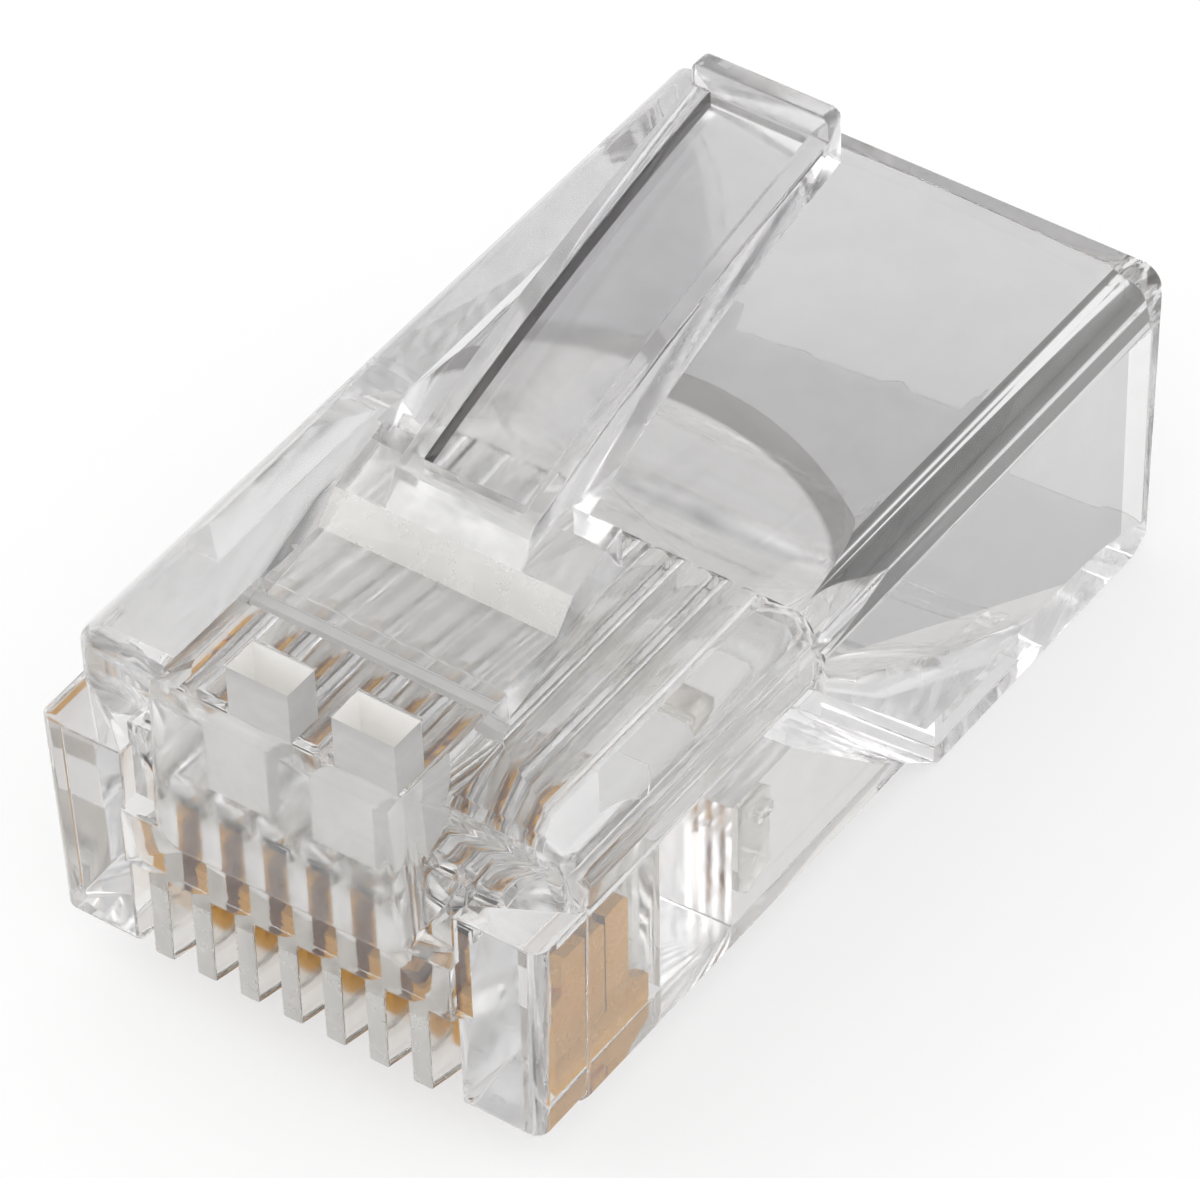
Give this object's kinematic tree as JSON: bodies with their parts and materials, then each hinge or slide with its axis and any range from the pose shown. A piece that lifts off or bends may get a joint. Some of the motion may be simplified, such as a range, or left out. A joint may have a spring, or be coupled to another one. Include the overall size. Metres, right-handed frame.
{
  "type": "modular plug",
  "caption": "Clear modular plug with gold plated contact blades, a spring latch lever and an open rear cavity for the cable.",
  "frame": {"origin": "middle of the length and width at the height of the deep rear underside", "axes": "+Y from the nose to the cable entry, +Z to the latch side, +X to the side where contact 8 sits"},
  "size_m": [0.0116, 0.0214, 0.013],
  "materials": {
    "clear_body": "clear moulded polycarbonate, polished",
    "contact_plating": "gold plated copper alloy, satin"
  },
  "bodies": {
    "plug_body": {"housing": "clear_body", "contact_1": "contact_plating", "contact_2": "contact_plating", "contact_3": "contact_plating", "contact_4": "contact_plating", "contact_5": "contact_plating", "contact_6": "contact_plating", "contact_7": "contact_plating", "contact_8": "contact_plating"},
    "latch": {"latch": "clear_body"}
  },
  "joints": [
    {"name": "latch_flex", "type": "hinge", "parent": "plug_body", "child": "latch", "pos_m": [0, -0.0071, 0.0078], "axis": [-1, 0, 0], "range_deg": [0, 17], "stiffness_Nm_per_rad": 0.22}
  ]
}
